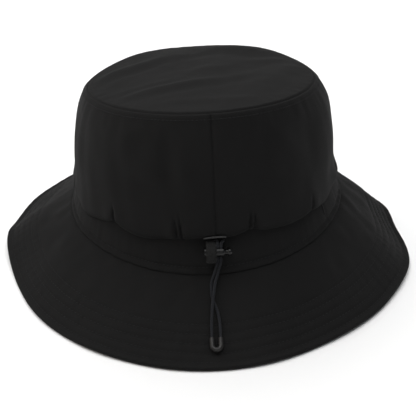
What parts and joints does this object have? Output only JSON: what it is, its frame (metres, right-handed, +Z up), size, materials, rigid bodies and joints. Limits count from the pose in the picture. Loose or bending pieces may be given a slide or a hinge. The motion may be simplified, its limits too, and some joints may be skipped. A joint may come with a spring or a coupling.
{
  "type": "bucket hat",
  "caption": "Soft fabric bucket hat with a gathered crown, a stitched sloping brim and a cord lock with a short tail at the back.",
  "frame": {"origin": "centre of the oval that the brim covers, on the surface that the hat stands on", "axes": "+Z up through the top panel, +Y towards the front of the hat, +X towards the right side seen from the back"},
  "size_m": [0.288, 0.304, 0.1466],
  "materials": {
    "shell_fabric": "matte black stretch fabric with a fine weave",
    "lining_fabric": "thin smooth black lining",
    "sweatband_fabric": "black ribbed wicking band",
    "interlining": "unbleached stiffening cloth, hidden inside the brim",
    "label_fabric": "blank pale grey satin tape",
    "elastic_cord": "braided elastic cord, dark grey",
    "webbing": "woven black webbing",
    "bar_plastic": "satin dark grey moulded bar",
    "lock_plastic": "black moulded plastic with a soft sheen",
    "spring_steel": "spring wire",
    "thread": "black sewing thread"
  },
  "bodies": {
    "hat": {"crown_tip": "shell_fabric", "crown_side_left": "shell_fabric", "crown_side_right": "shell_fabric", "band_left": "shell_fabric", "band_right": "shell_fabric", "brim_top_left": "shell_fabric", "brim_top_right": "shell_fabric", "brim_interlining": "interlining", "brim_under_left": "shell_fabric", "brim_under_right": "shell_fabric", "sweatband": "sweatband_fabric", "lining_tip": "lining_fabric", "lining_side_left": "lining_fabric", "lining_side_right": "lining_fabric", "care_label": "label_fabric", "drawcord": "elastic_cord", "cord_exit_bar": "bar_plastic", "lock_tab": "webbing", "lock_barrel": "lock_plastic", "lock_spring": "spring_steel"},
    "plunger": {"lock_plunger": "lock_plastic"},
    "tail_root": {"cord_stub_left": "elastic_cord", "cord_stub_right": "elastic_cord"},
    "cord_tail": {"cord_tail_left": "elastic_cord", "cord_tail_right": "elastic_cord", "cord_end": "lock_plastic"}
  },
  "joints": [
    {"name": "plunger_press", "type": "slide", "parent": "hat", "child": "plunger", "axis": [-1, 0, 0], "range_m": [0, 0.002], "stiffness_N_per_m": 400, "springref_m": -0.003, "deforming": ["lock_spring"]},
    {"name": "tail_lift", "type": "hinge", "parent": "hat", "child": "tail_root", "pos_m": [0.00285, -0.1022, 0.0501], "axis": [-1, 0, 0], "range_deg": [0, 90]},
    {"name": "cord_pull", "type": "slide", "parent": "tail_root", "child": "cord_tail", "axis": [0, -0.8059, -0.592], "range_m": [-0.025, 0.004], "deforming": ["cord_tail_left", "cord_tail_right"]}
  ]
}
